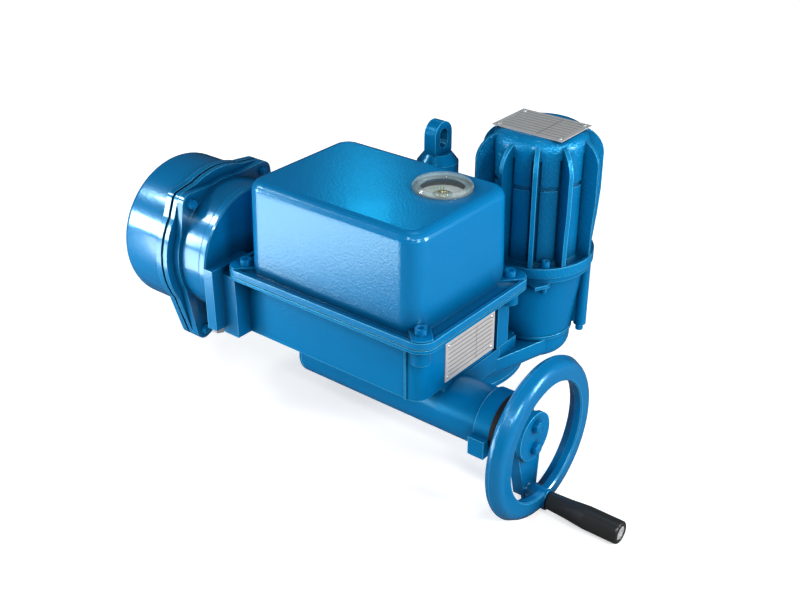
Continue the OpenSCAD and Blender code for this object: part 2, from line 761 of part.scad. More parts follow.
module lifting_eye() {
    color(blue) translate([eye_x, eye_y, 0]) difference() {
        union() {
            translate([0, 0, eye_foot_z]) cylinder(r = eye_column_r, h = eye_top_z - eye_foot_z);
            translate([0, 0, eye_top_z]) cylinder(r1 = eye_column_r, r2 = 16, h = 11);
            translate([-8, 0, eye_z]) rotate([90, 0, 90]) linear_extrude(16) {
                circle(15.8);
                translate([-15.8, -22]) square([31.6, 22]);
            }
        }
        translate([-20, 0, eye_z]) rotate([90, 0, 90]) linear_extrude(40) {
            circle(7.5);
            translate([0, -8]) circle(7.5);
            translate([-7.5, -8]) square([15, 8]);
        }
        translate([0, 0, eye_foot_z - 1]) cylinder(r = eye_column_r - 6, h = eye_top_z - eye_foot_z - 5);
    }
}

module motor_nameplate() {
    color(plate_grey) translate([motor_x - plate_l / 2, motor_y - plate_w / 2, motor_top_z])
        cube([plate_l, plate_w, 1]);
}

module box_nameplate() {
    color(plate_grey) translate([wall_x1, box_plate[0], box_plate[2]]) cube([1, box_plate[1], box_plate[3]]);
}

// Four rivets on each plate, near its corners
module plate_rivets() {
    color([0.8, 0.8, 0.8]) {
        translate([motor_x, motor_y, motor_top_z + 1]) corners(plate_l / 2 - 6, plate_w / 2 - 6) rivet_head();
        translate([wall_x1 + 1, box_plate[0] + box_plate[1] / 2, box_plate[2] + box_plate[3] / 2])
            rotate([0, 90, 0]) corners(box_plate[3] / 2 - 5, box_plate[1] / 2 - 5) rivet_head();
    }
}

module rivet_head() {
    cylinder(r1 = 2.4, r2 = 1.4, h = 1.2);
}

output_flange();
gear_casing();
drive_sleeve();
worm_wheel();
sleeve_bearing_lower();
sleeve_bearing_upper();
worm_shaft();
worm_bearing_left();
worm_bearing_right();
tube_end_cover();
bearing_cap();
shaft_seal();
handwheel();
hub_plate();
hub_bolts();
grip_spindle();
grip();
control_box();
rim_gasket();
control_hood();
hood_screws();
window_ring();
window_glass();
dial_plate();
dial_pointer();
control_chassis();
limit_switches();
circuit_board();
terminal_housing();
terminal_cap();
cap_bolts();
terminal_block();
conduit_plug();
motor_adaptor();
motor_cover();
motor_bolts();
stator();
rotor();
motor_bearing_lower();
motor_bearing_upper();
lifting_eye();
motor_nameplate();
box_nameplate();
plate_rivets();
dial_gear();
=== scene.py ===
# %% [markdown]
# # An electric valve actuator, dressed for its portrait
#
# The machine that turns a large industrial valve. A cast gear casing stands on a bolted flange, a
# control box with a dial window sits on top, a round terminal housing hangs on one end, a finned
# motor stands behind, and a handwheel with a turning grip lets a person take over.
#
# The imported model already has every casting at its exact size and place, so it is loaded first and
# never moved. This script adds what a drawing office leaves out: paint, the dial's marks, the
# plates' bare fields, a few small pieces such as chamfered bolt heads, light and a camera.

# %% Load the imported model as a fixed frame
import math

import bmesh
import bpy
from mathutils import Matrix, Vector


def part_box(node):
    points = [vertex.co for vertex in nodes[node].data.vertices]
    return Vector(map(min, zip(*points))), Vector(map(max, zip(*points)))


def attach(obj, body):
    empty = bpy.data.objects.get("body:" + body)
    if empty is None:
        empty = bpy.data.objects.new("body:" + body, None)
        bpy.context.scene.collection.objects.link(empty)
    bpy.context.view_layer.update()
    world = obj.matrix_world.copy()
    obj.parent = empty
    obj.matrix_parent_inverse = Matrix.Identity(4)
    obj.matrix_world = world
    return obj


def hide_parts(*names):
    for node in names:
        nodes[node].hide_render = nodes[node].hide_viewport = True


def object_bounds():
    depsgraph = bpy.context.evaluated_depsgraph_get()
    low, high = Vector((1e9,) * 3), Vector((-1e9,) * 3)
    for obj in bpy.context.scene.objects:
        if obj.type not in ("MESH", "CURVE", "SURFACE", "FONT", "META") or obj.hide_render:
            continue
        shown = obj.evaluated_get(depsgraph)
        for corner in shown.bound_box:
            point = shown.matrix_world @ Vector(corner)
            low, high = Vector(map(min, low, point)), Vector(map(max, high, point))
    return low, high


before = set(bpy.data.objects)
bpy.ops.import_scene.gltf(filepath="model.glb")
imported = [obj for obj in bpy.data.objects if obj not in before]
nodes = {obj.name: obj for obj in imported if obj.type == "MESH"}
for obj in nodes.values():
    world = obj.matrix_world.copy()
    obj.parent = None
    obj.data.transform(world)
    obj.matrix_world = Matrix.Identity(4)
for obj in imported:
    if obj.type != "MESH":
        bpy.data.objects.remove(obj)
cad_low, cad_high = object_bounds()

bpy.ops.object.select_all(action="DESELECT")
print("nodes loaded:", len(nodes))
print("length, depth, height in metres:", [round(h - l, 4) for l, h in zip(cad_low, cad_high)])

# %% [markdown]
# ## Writing a material as a sum
#
# A finish is easier to read as arithmetic than as a web of nodes. A small class wraps one socket
# and overloads the operators, so that `1 - mask` and `height * 0.3 + grain` add their Math nodes by
# themselves. Any other node comes from one method, which takes the node's type, its settings and
# what goes into its sockets.
#
# Sockets go by name where the name is unique, and by number where it isn't: on a Mix node set to
# colours, 0 is the factor, 6 and 7 are the two colours, and output 2 is the result.

# %% A wrapped socket and a finish to collect nodes in
SHADING_SAMPLES = 6  # of the Bevel and Ambient Occlusion nodes
SMOOTH_ANGLE = math.radians(35)


class Socket:
    """One output socket; sums and products on it add Math nodes."""

    def __init__(self, owner, output):
        self.owner = owner
        self.output = output

    def _maths(self, operation, first, second=0.0):
        return self.owner.node("ShaderNodeMath", {"operation": operation}, {0: first, 1: second})

    def __add__(self, other):
        return self._maths("ADD", self, other)

    def __radd__(self, other):
        return self._maths("ADD", other, self)

    def __sub__(self, other):
        return self._maths("SUBTRACT", self, other)

    def __rsub__(self, other):
        return self._maths("SUBTRACT", other, self)

    def __mul__(self, other):
        return self._maths("MULTIPLY", self, other)

    def __rmul__(self, other):
        return self._maths("MULTIPLY", other, self)

    def __mod__(self, other):
        return self._maths("FLOORED_MODULO", self, other)

    def __abs__(self):
        return self._maths("ABSOLUTE", self)

    def above(self, limit):
        return self._maths("GREATER_THAN", self, limit)

    def below(self, limit):
        return self._maths("LESS_THAN", self, limit)


class NodeTree:
    """The nodes of a material or a world, added one call at a time."""

    def __init__(self, tree):
        self.tree = tree

    def node(self, kind, settings=None, inputs=None, output=0):
        """Adds a node; inputs and output are named by socket name or number."""
        made = self.tree.nodes.new(kind)
        for name, value in (settings or {}).items():
            setattr(made, name, value)
        for name, value in (inputs or {}).items():
            if isinstance(value, Socket):
                self.tree.links.new(value.output, made.inputs[name])
            else:
                made.inputs[name].default_value = value
        return Socket(self, made.outputs[output])

    def colours(self, mask, first, second):
        """The first colour where mask is 0, the second where it is 1."""
        return self.node("ShaderNodeMix", {"data_type": "RGBA"}, {0: mask, 6: first, 7: second},
                         output=2)


class Finish(NodeTree):
    """A material under construction, with its Principled shader."""

    def __init__(self, name, **constants):
        self.material = bpy.data.materials.new(name)
        self.material.use_nodes = True
        super().__init__(self.material.node_tree)
        self.shader = next(n for n in self.tree.nodes if n.type == "BSDF_PRINCIPLED")
        for socket, value in constants.items():
            self.shader.inputs[socket.replace("_", " ")].default_value = value

    def place(self, centre=(0, 0, 0)):
        """Object coordinates in metres, counted from centre."""
        spot = self.node("ShaderNodeTexCoord", output="Object")
        return self.node("ShaderNodeVectorMath", {"operation": "SUBTRACT"}, {0: spot, 1: centre})

    def axes(self, centre=(0, 0, 0)):
        """The three object coordinates, counted from centre, as sockets of their own."""
        split = self.node("ShaderNodeSeparateXYZ", inputs={0: self.place(centre)})
        return [Socket(self, output) for output in split.output.node.outputs]

    def noise(self, scale, detail=2.0, stretch=(1, 1, 1)):
        """Noise with scale bumps to the metre; stretch packs it closer along each axis."""
        spot = self.node("ShaderNodeVectorMath", {"operation": "MULTIPLY"},
                         {0: self.place(), 1: stretch})
        return self.node("ShaderNodeTexNoise",
                         inputs={"Vector": spot, "Scale": scale, "Detail": detail})

    def feed(self, **links):
        """Links sockets to the shader's inputs of the same names."""
        for socket, value in links.items():
            self.tree.links.new(value.output, self.shader.inputs[socket.replace("_", " ")])

    def bump(self, height, distance, strength=1.0, edge=0.0):
        """Feeds the shader's normal; edge is the radius, in metres, of the softened edges."""
        inputs = {"Height": height, "Distance": distance, "Strength": strength}
        if edge:
            inputs["Normal"] = self.rounded(edge)
        self.feed(Normal=self.node("ShaderNodeBump", inputs=inputs))

    def rounded(self, radius):
        """The surface's normal with the edges rounded off in the shading."""
        return self.node("ShaderNodeBevel", {"samples": SHADING_SAMPLES}, {"Radius": radius})


def select(*pieces):
    """Selects these objects and no others, and makes the first one active."""
    bpy.ops.object.select_all(action="DESELECT")
    for piece in pieces:
        piece.select_set(True)
    bpy.context.view_layer.objects.active = pieces[0]


def dress(finish, names):
    """Gives nodes or pieces a finish, with smooth shading up to 35 degrees."""
    pieces = [nodes[name] if isinstance(name, str) else name for name in names]
    for piece in pieces:
        piece.data.materials.clear()
        piece.data.materials.append(finish.material)
        select(piece)
        bpy.ops.object.shade_smooth_by_angle(angle=SMOOTH_ANGLE)
        piece.select_set(False)
    print(finish.material.name, "on", ", ".join(piece.name for piece in pieces))


# %% [markdown]
# ## Blue enamel
#
# Cast aluminium and iron are sprayed with a thick blue enamel. It is glossy, with a faint orange
# peel where the spray dried, and it rounds every edge a little, so each edge catches a thin bright
# line. The rounding is done in the shading, by a Bevel node, because the real radius is about a
# millimetre and would cost many faces in the mesh.
#
# Two more things are painted into the colour from the shape. An Ambient Occlusion node, which
# tells how much open space a point has round it, darkens the hollows: painted shade. On outward
# edges the rounded normal differs from the true one, and that difference lightens the paint there:
# a painted highlight.
#
# The same paint comes in four settings: on the castings, on the smooth hood, glossier on the wheel
# and the round housing, and with a coarse peel on the motor's cover, which makes it sparkle; its
# tones there are lighter than on the other castings, a painted sheen.

# %% Blue enamel on the castings
ENAMEL_LIGHT = (0.0, 0.205, 0.5, 1)
ENAMEL_DARK = (0.0, 0.168, 0.42, 1)
# a painted sheen, lighter than the enamel's own tones
ENAMEL_PAINTED_SHEEN = (0.0, 0.27, 0.62, 1)
# painted shade, for the hollows
ENAMEL_PAINTED_SHADE = (0.0, 0.03, 0.09, 1)
# painted highlight, for the outward edges
ENAMEL_PAINTED_HIGHLIGHT = (0.14, 0.7, 1.0, 1)
PAINTED_SHADE_REACH = 0.03  # metres
EDGE_RADIUS = 0.0014  # metres
EDGE_HIGHLIGHT_GAIN = 4.5
OPEN_FROM = 0.75  # with less open space than this an edge is an inward one
OPEN_GAIN = 5.0
CLOUD_SCALE = 9.0  # of the slow change between the two tones


def blue_enamel(name, grain, depth, tones=(ENAMEL_DARK, ENAMEL_LIGHT), **constants):
    """Blue enamel; grain is its orange peel's scale, depth how far that stands up in metres."""
    made = Finish(name, **constants)
    body = made.colours(made.noise(CLOUD_SCALE, detail=3.0), *tones)
    # Painted shade: hollows, with little open space round them, are darkened in the colour.
    open_space = made.node("ShaderNodeAmbientOcclusion", {"samples": SHADING_SAMPLES},
                           {"Distance": PAINTED_SHADE_REACH}, output="AO")
    body = made.colours(open_space * open_space, ENAMEL_PAINTED_SHADE, body)
    true_normal = made.node("ShaderNodeNewGeometry", output="Normal")
    agreement = made.node("ShaderNodeVectorMath", {"operation": "DOT_PRODUCT"},
                          {0: made.rounded(EDGE_RADIUS), 1: true_normal}, output="Value")
    # Painted highlight: outward edges are lightened in the colour, standing in for the bright line
    # they catch.
    outward = (open_space - OPEN_FROM) * OPEN_GAIN
    edge = (1.0 - agreement) * EDGE_HIGHLIGHT_GAIN * outward
    made.feed(Base_Color=made.colours(edge, body, ENAMEL_PAINTED_HIGHLIGHT))
    made.bump(made.noise(grain, detail=3.0), distance=depth, strength=0.5, edge=EDGE_RADIUS)
    return made


casting = blue_enamel("casting_enamel", grain=420.0, depth=0.0005, Metallic=0.12, Roughness=0.26,
                      Specular_IOR_Level=0.8, Specular_Tint=(0.1, 0.7, 1.0, 1),
                      Coat_Weight=0.14, Coat_Roughness=0.06)
smooth = blue_enamel("smooth_enamel", grain=380.0, depth=0.0004, Roughness=0.22,
                     Specular_IOR_Level=1.0, Specular_Tint=(0.4, 0.78, 1.0, 1),
                     Coat_Weight=0.05, Coat_Roughness=0.06)
glossy = blue_enamel("glossy_enamel", grain=260.0, depth=0.0003, Metallic=0.1, Roughness=0.22,
                     Specular_IOR_Level=1.0, Specular_Tint=(0.5, 0.85, 1.0, 1),
                     Coat_Weight=0.6, Coat_Roughness=0.09)
# The motor's cover takes lighter tones than the other castings: a painted sheen on its panels.
rough = blue_enamel("rough_enamel", grain=380.0, depth=0.0025, tones=(ENAMEL_LIGHT, ENAMEL_PAINTED_SHEEN),
                    Metallic=0.2, Roughness=0.26, Specular_IOR_Level=1.0,
                    Specular_Tint=(0.2, 0.75, 1.0, 1), Coat_Weight=0.15, Coat_Roughness=0.08)
dress(casting, ["output_flange", "gear_casing", "tube_end_cover", "bearing_cap", "hub_plate",
                "control_box", "motor_adaptor", "lifting_eye"])
dress(smooth, ["control_hood"])
dress(glossy, ["handwheel", "terminal_housing", "terminal_cap"])
dress(rough, ["motor_cover"])

# %% [markdown]
# ## Painted screws
#
# The screws were sprayed together with the castings, so they have the same blue, but thinner, and
# the steel darkens it a little.

# %% Painted screws
screw_enamel = Finish("painted_screws", Base_Color=(0.0, 0.16, 0.4, 1), Specular_IOR_Level=0.8,
                      Specular_Tint=(0.2, 0.75, 1.0, 1), Coat_Weight=0.1)
screw_enamel.feed(Roughness=screw_enamel.noise(150.0) * 0.15 + 0.2)
screw_enamel.bump(screw_enamel.noise(500.0), distance=0.0002, strength=0.3, edge=0.0005)
dress(screw_enamel, ["hub_bolts", "hood_screws", "cap_bolts", "motor_bolts"])

# %% [markdown]
# ## Black grip
#
# The turning grip is a moulded black plastic with a soft shine and a fine grain from the mould.

# %% Black plastic
grip_plastic = Finish("black_grip", Base_Color=(0.022, 0.022, 0.022, 1))
grip_plastic.feed(Roughness=grip_plastic.noise(60.0) * 0.12 + 0.24)
grip_plastic.bump(grip_plastic.noise(900.0), distance=0.0001, strength=0.3, edge=0.0008)
dress(grip_plastic, ["grip"])

# %% [markdown]
# ## Bare metals, rubber and the parts inside
#
# The grip's screw, the rivets and the conduit plug are bright plated steel. Inside, where only a
# cut or an exploded view would look, the shafts are ground steel, the worm wheel is bronze and the
# board is green.

# %% Bare metals, rubber and inner parts
bright = Finish("plated_steel", Base_Color=(0.8, 0.81, 0.82, 1), Metallic=0.55)
bright.feed(Roughness=bright.noise(200.0, stretch=(1, 1, 8)) * 0.14 + 0.14)
bright.bump(bright.noise(300.0), distance=0.0001, strength=0.2, edge=0.0005)
dress(bright, ["grip_spindle", "conduit_plug", "plate_rivets"])

ground = Finish("ground_steel", Base_Color=(0.56, 0.57, 0.59, 1), Metallic=1.0)
ground.feed(Roughness=ground.noise(120.0, stretch=(1, 1, 10)) * 0.2 + 0.22)
dress(ground, ["worm_shaft", "drive_sleeve", "rotor", "sleeve_bearing_lower",
               "sleeve_bearing_upper", "worm_bearing_left", "worm_bearing_right",
               "motor_bearing_lower", "motor_bearing_upper", "control_chassis"])

bronze = Finish("bronze", Base_Color=(0.62, 0.38, 0.14, 1), Metallic=1.0)
bronze.feed(Roughness=bronze.noise(140.0) * 0.2 + 0.25)
dress(bronze, ["worm_wheel", "dial_gear"])

rubber = Finish("black_rubber", Base_Color=(0.012, 0.012, 0.013, 1), Specular_IOR_Level=0.2)
rubber.feed(Roughness=rubber.noise(300.0) * 0.2 + 0.5)
dress(rubber, ["shaft_seal", "rim_gasket"])

inner_plastic = Finish("inner_plastic", Base_Color=(0.02, 0.02, 0.022, 1))
inner_plastic.feed(Roughness=inner_plastic.noise(200.0) * 0.2 + 0.4)
dress(inner_plastic, ["limit_switches", "terminal_block"])

board = Finish("circuit_board", Base_Color=(0.01, 0.09, 0.03, 1))
board.feed(Roughness=board.noise(200.0) * 0.2 + 0.3)
dress(board, ["circuit_board"])

core = Finish("stator_core", Base_Color=(0.08, 0.07, 0.06, 1), Metallic=0.6)
core.feed(Roughness=core.noise(400.0, stretch=(0.1, 0.1, 8)) * 0.25 + 0.4)
dress(core, ["stator"])

# %% [markdown]
# ## The dial and its window
#
# Under the round window lies a white dial with a few green marks on one side for open and red
# marks on the other for closed, and a brass pointer in the middle. The marks are printed, so they
# are part of the dial's colour: the angle and the distance from the centre say where ink is.

# %% The dial's print, its brass pointer and the clear window
dial_low, dial_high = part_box("dial_plate")
dial_centre = (dial_low + dial_high) / 2
BAND_INNER, BAND_OUTER = 0.0125, 0.0215  # the radii between which the marks lie, in metres
TICK_STEP, TICK_WIDTH = 0.17, 0.055  # radians
DIAL_WHITE = (0.86, 0.87, 0.84, 1)
GREEN_INK = (0.1, 0.42, 0.08, 1)
RED_INK = (0.6, 0.05, 0.04, 1)

dial = Finish("white_dial", Roughness=0.45)
x, y, _ = dial.axes(tuple(dial_centre))
radius = dial.node("ShaderNodeMath", {"operation": "SQRT"}, {0: x * x + y * y})
turn = dial.node("ShaderNodeMath", {"operation": "ARCTAN2"}, {0: y, 1: x})
in_band = radius.above(BAND_INNER) * radius.below(BAND_OUTER)
marks = in_band * ((turn + math.pi) % TICK_STEP).below(TICK_WIDTH)
green_side = turn.above(math.radians(118)) * turn.below(math.radians(172))
red_side = turn.above(math.radians(20)) * turn.below(math.radians(66))
with_green = dial.colours(marks * green_side, DIAL_WHITE, GREEN_INK)
dial.feed(Base_Color=dial.colours(marks * red_side, with_green, RED_INK))
dress(dial, ["dial_plate"])

brass = Finish("brass", Base_Color=(0.72, 0.52, 0.2, 1), Metallic=1.0)
brass.feed(Roughness=brass.noise(250.0) * 0.15 + 0.2)
dress(brass, ["dial_pointer"])

window = Finish("clear_window", Base_Color=(0.85, 0.95, 0.93, 1), Alpha=0.07, Roughness=0.03)
window.bump(window.noise(60.0), distance=0.00005, strength=0.2)
dress(window, ["window_glass"])

ring_plastic = Finish("clear_ring", Base_Color=(0.62, 0.78, 0.78, 1), Roughness=0.06, Alpha=0.28,
                      Coat_Weight=0.6)
ring_plastic.bump(ring_plastic.noise(200.0), distance=0.0001, strength=0.3, edge=0.0006)
dress(ring_plastic, ["window_ring"])

# %% [markdown]
# ## Bare rating plates
#
# Two etched plates are riveted on, one on the motor's top and one on the box. Thin dark rules
# divide each into bare fields. The rules run at equal steps along one axis, so the remainder of a
# division says where they lie, and a margin all round is left free.

# %% Etched plates with bare fields
PLATE_ROWS = 9
RULE_WIDTH = 0.0011
END_MARGIN, SIDE_MARGIN = 0.005, 0.004  # left free of ink, in metres
UPRIGHT_AT, UPRIGHT_HALF_WIDTH = 0.12, 0.0005  # the place is a share of the plate's width
PLATE_DARK = (0.52, 0.5, 0.49, 1)
PLATE_LIGHT = (0.72, 0.7, 0.69, 1)
PLATE_INK = (0.1, 0.1, 0.1, 1)


def etched_plate(name, centre, across, along, wide, high):
    """A satin plate with ruled fields; across and along are the axis numbers of its two sides."""
    made = Finish(name, Metallic=0.25)
    axes = made.axes(centre)
    s, t = axes[across], axes[along]
    rule = ((t + high / 2) % (high / PLATE_ROWS)).below(RULE_WIDTH)
    upright = abs(s - wide * UPRIGHT_AT).below(UPRIGHT_HALF_WIDTH)
    inside = abs(s).below(wide / 2 - END_MARGIN) * abs(t).below(high / 2 - SIDE_MARGIN)
    ink = inside * made.node("ShaderNodeMath", {"operation": "MAXIMUM"}, {0: rule, 1: upright})
    grain = made.noise(260.0)
    metal = made.colours(grain, PLATE_DARK, PLATE_LIGHT)
    made.feed(Base_Color=made.colours(ink * 0.85, metal, PLATE_INK), Roughness=grain * 0.15 + 0.32)
    return made


for node_name, across, along in (("motor_nameplate", 0, 1), ("box_nameplate", 1, 2)):
    low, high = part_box(node_name)
    size = high - low
    plate = etched_plate(node_name + "_print", tuple((low + high) / 2), across, along,
                         size[across], size[along])
    dress(plate, [node_name])

# %% [markdown]
# ## Small pieces, modelled by hand
#
# A camera close to the machine also sees what a casting drawing leaves out: chamfers on the bolt
# heads, the raised pads round the hood's screws, the rubber lip behind the wheel. Each one starts
# as a primitive at its own size and place and is then shaped in edit mode. These helpers do what
# the hands do there: start a piece, pick faces or edges by where they are, and leave edit mode.

# %% Helpers for edit mode
TO_X = (0, math.radians(90), 0)  # turns a cylinder's axis from Z to X
ALIGNED = 0.9  # from this share along an axis a direction counts as running along it
CROSSWISE = 0.1  # and below this one as running across it


def start(name):
    """Names the new primitive, puts its place in its mesh and opens it in edit mode."""
    piece = bpy.context.active_object
    piece.name = name
    bpy.ops.object.transform_apply(location=True, rotation=True, scale=True)
    bpy.ops.object.mode_set(mode="EDIT")
    return piece


def pick(mode, wanted):
    """Selects the faces, edges or corners for which wanted(middle, normal) is true."""
    mesh = bmesh.from_edit_mesh(bpy.context.active_object.data)
    bpy.ops.mesh.select_mode(type=mode)
    bpy.ops.mesh.select_all(action="DESELECT")
    parts = {"FACE": mesh.faces, "EDGE": mesh.edges, "VERT": mesh.verts}[mode]
    for part in parts:
        if mode == "FACE":
            middle, normal = part.calc_center_median(), part.normal
        elif mode == "EDGE":
            middle = (part.verts[0].co + part.verts[1].co) / 2
            normal = (part.verts[1].co - part.verts[0].co).normalized()
        else:
            middle, normal = part.co, part.normal
        if wanted(middle, normal):
            part.select_set(True)
    mesh.select_flush_mode()
    bmesh.update_edit_mesh(bpy.context.active_object.data)


def done(piece, finish, body, slot, *replaced):
    """Closes edit mode with the faces outwards, gives the finish and ties the piece to its body."""
    bpy.ops.mesh.select_all(action="SELECT")
    bpy.ops.mesh.normals_make_consistent(inside=False)
    bpy.ops.object.mode_set(mode="OBJECT")
    dress(finish, [piece])
    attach(piece, body)
    if replaced:
        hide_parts(*replaced)
    print(piece.name, "has", len(piece.data.polygons), "faces")


def extrude_up(rise):
    """Extrudes the selected faces and moves the new ones straight up."""
    bpy.ops.mesh.extrude_region_move(TRANSFORM_OT_translate={"value": (0, 0, rise)})


def doubled(piece, name, shift=(0, 0, 0)):
    """A second copy of a piece with its own mesh, moved by shift."""
    select(piece)
    bpy.ops.object.duplicate()
    copy = bpy.context.active_object
    copy.name = name
    bpy.ops.object.mode_set(mode="EDIT")
    bpy.ops.mesh.select_all(action="SELECT")
    bpy.ops.transform.translate(value=shift)
    bpy.ops.object.mode_set(mode="OBJECT")
    return copy


def joined(first, *others):
    """Joins pieces into the first one."""
    select(first, *others)
    bpy.ops.object.join()
    return first


# %% [markdown]
# ## Hub bolts
#
# Two hexagon bolts hold the wheel's plate. A real head has its corners turned off, so the outer
# face is inset and pulled forward, which leaves a chamfer all round, and a fine bevel follows.

# %% Hexagon bolt heads
bolts_low, bolts_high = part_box("hub_bolts")
BOLT_R = 0.007
HEAD_H = bolts_high.x - bolts_low.x
CHAMFER_RISE = 0.001
lower_bolt = (bolts_low.x + (HEAD_H - CHAMFER_RISE) / 2, (bolts_low.y + bolts_high.y) / 2,
              bolts_low.z + BOLT_R)
bpy.ops.mesh.primitive_cylinder_add(vertices=6, radius=BOLT_R, depth=HEAD_H - CHAMFER_RISE,
                                    location=lower_bolt, rotation=TO_X)
head = start("hub_bolt_heads")
bpy.ops.mesh.select_all(action="SELECT")
bpy.ops.transform.rotate(value=math.radians(30), orient_axis="X", center_override=lower_bolt)
pick("FACE", lambda middle, normal: normal.x > ALIGNED)
bpy.ops.mesh.inset(thickness=0.0011)
bpy.ops.transform.translate(value=(CHAMFER_RISE, 0, 0))
pick("EDGE", lambda middle, normal: True)
bpy.ops.mesh.bevel(offset=0.0003, segments=2, affect="EDGES")
bpy.ops.object.mode_set(mode="OBJECT")
upper = doubled(head, "upper_head", (0, 0, bolts_high.z - bolts_low.z - 2 * BOLT_R))
head = joined(head, upper)
bpy.ops.object.mode_set(mode="EDIT")
done(head, screw_enamel, "handwheel", "painted_screws", "hub_bolts")

# %% [markdown]
# ## The grip's screw
#
# The grip turns on a spindle with a plated screw at its end, seen as a bright disc in the black
# recess. Two insets, each pulled forward, round the disc's rim, and a hexagon socket is cut with a
# Boolean modifier.

# %% Screw in the grip's end
_, spindle_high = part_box("grip_spindle")
grip_low, grip_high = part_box("grip")
SCREW_R, SCREW_H = 0.0083, 0.0022
SOCKET_R = 0.0036
CUTTER_H, CUTTER_AHEAD = 0.004, 0.0018  # the cutter's middle lies ahead of the screw's
screw_place = (spindle_high.x + SCREW_H / 2, (grip_low.y + grip_high.y) / 2,
               (grip_low.z + grip_high.z) / 2)
cutter_place = (screw_place[0] + CUTTER_AHEAD, screw_place[1], screw_place[2])
bpy.ops.mesh.primitive_cylinder_add(vertices=48, radius=SCREW_R, depth=SCREW_H,
                                    location=screw_place, rotation=TO_X)
screw = start("grip_screw")
pick("FACE", lambda middle, normal: normal.x > ALIGNED)
bpy.ops.mesh.inset(thickness=0.0012)
bpy.ops.transform.translate(value=(0.0007, 0, 0))
bpy.ops.mesh.inset(thickness=0.0018)
bpy.ops.transform.translate(value=(0.0003, 0, 0))
bpy.ops.object.mode_set(mode="OBJECT")
bpy.ops.mesh.primitive_cylinder_add(vertices=6, radius=SOCKET_R, depth=CUTTER_H,
                                    location=cutter_place, rotation=TO_X)
socket_cutter = bpy.context.active_object
cut = screw.modifiers.new("socket", "BOOLEAN")
cut.operation = "DIFFERENCE"
cut.object = socket_cutter
bpy.context.view_layer.objects.active = screw
bpy.ops.object.modifier_apply(modifier="socket")
bpy.data.objects.remove(socket_cutter)
bpy.ops.object.mode_set(mode="EDIT")
done(screw, bright, "handwheel", "zinc_steel")

# %% [markdown]
# ## Rubber lip behind the wheel
#
# A black rubber lip is pushed over the bearing cap and keeps dirt out of the shaft. It is a ring: a
# cylinder whose two ends are inset and joined through the middle by a bridge, with round rims.

# %% Dust lip on the bearing cap
_, cap_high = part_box("bearing_cap")
seal_low, seal_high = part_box("shaft_seal")
shaft_y, shaft_z = (seal_low.y + seal_high.y) / 2, (seal_low.z + seal_high.z) / 2
LIP_PROUD = 0.0007  # how far its rim stands out from the cap
LIP_LAP = 0.0055  # how far it reaches back over the cap
LIP_AHEAD = 0.001  # how far it reaches past the seal
LIP_R = cap_high.y - shaft_y + LIP_PROUD
LIP_BORE = 0.030
lip_back, lip_front = cap_high.x - LIP_LAP, seal_high.x + LIP_AHEAD
lip_place = ((lip_back + lip_front) / 2, shaft_y, shaft_z)
bpy.ops.mesh.primitive_cylinder_add(vertices=72, radius=LIP_R, depth=lip_front - lip_back,
                                    location=lip_place, rotation=TO_X)
lip = start("dust_lip")
pick("FACE", lambda middle, normal: abs(normal.x) > ALIGNED)
bpy.ops.mesh.inset(thickness=LIP_R - LIP_BORE, use_individual=True)
bpy.ops.mesh.bridge_edge_loops()
pick("EDGE", lambda middle, normal: abs(normal.x) < CROSSWISE and
     (middle.yz - Vector(lip_place).yz).length > LIP_R - 0.002)
bpy.ops.mesh.bevel(offset=0.0011, segments=3, affect="EDGES")
done(lip, rubber, "frame", "black_rubber")

# %% [markdown]
# ## Pads round the hood's screws
#
# At each corner of the hood's rim a flat pad stands up round the screw, with two slanted sides that
# run back to the hood. One pad is made from a square plane: its outer corner is rounded like the
# rim's, two bisections cut the slanted sides, and it is raised and bevelled. The other three are
# mirrored copies with meshes of their own.

# %% Raised pads at the rim's corners
hood_low, hood_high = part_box("control_hood")
RIM_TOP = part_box("hood_screws")[0].z
PAD_SIDE = 0.040
PAD_RISE = 0.0018
PAD_INSET = 0.001  # from the rim's sides
PAD_SUNK = 0.001  # into the rim
RIM_ROUND = 0.018
# A point on each slanted side, counted from the corner, and the direction of what is cut off
SLANTS = (((-0.016, 0, 0), (-0.678, -0.735, 0)), ((0, 0.016, 0), (0.735, 0.678, 0)))

corner = Vector((hood_high.x, hood_low.y, RIM_TOP))
pad_middle = corner + Vector((-PAD_SIDE / 2 - PAD_INSET, PAD_SIDE / 2 + PAD_INSET, -PAD_SUNK))
bpy.ops.mesh.primitive_plane_add(size=PAD_SIDE, location=pad_middle)
pad = start("rim_corner_pads")
pick("VERT", lambda middle, normal: (middle.xy - corner.xy).length < 0.003)
bpy.ops.mesh.bevel(offset=RIM_ROUND, segments=10, affect="VERTICES")
for on_line, removed_side in SLANTS:
    bpy.ops.mesh.select_all(action="SELECT")
    bpy.ops.mesh.bisect(plane_co=corner + Vector(on_line), plane_no=removed_side, clear_outer=True)
bpy.ops.mesh.select_all(action="SELECT")
extrude_up(PAD_RISE + PAD_SUNK)
pick("EDGE", lambda middle, normal: abs(normal.z) < CROSSWISE and
     middle.z > RIM_TOP + PAD_RISE * 0.8)
bpy.ops.mesh.bevel(offset=0.0008, segments=3, affect="EDGES")
bpy.ops.object.mode_set(mode="OBJECT")

rim_middle = (hood_low + hood_high) / 2
pads = [pad]
for flip in ((-1, 1, 1), (1, -1, 1), (-1, -1, 1)):
    copy = doubled(pad, "pad_copy")
    bpy.ops.object.mode_set(mode="EDIT")
    bpy.ops.mesh.select_all(action="SELECT")
    bpy.ops.transform.resize(value=flip, center_override=rim_middle)
    bpy.ops.object.mode_set(mode="OBJECT")
    pads.append(copy)
pad = joined(*pads)
bpy.ops.object.mode_set(mode="EDIT")
done(pad, casting, "frame", "blue_paint")

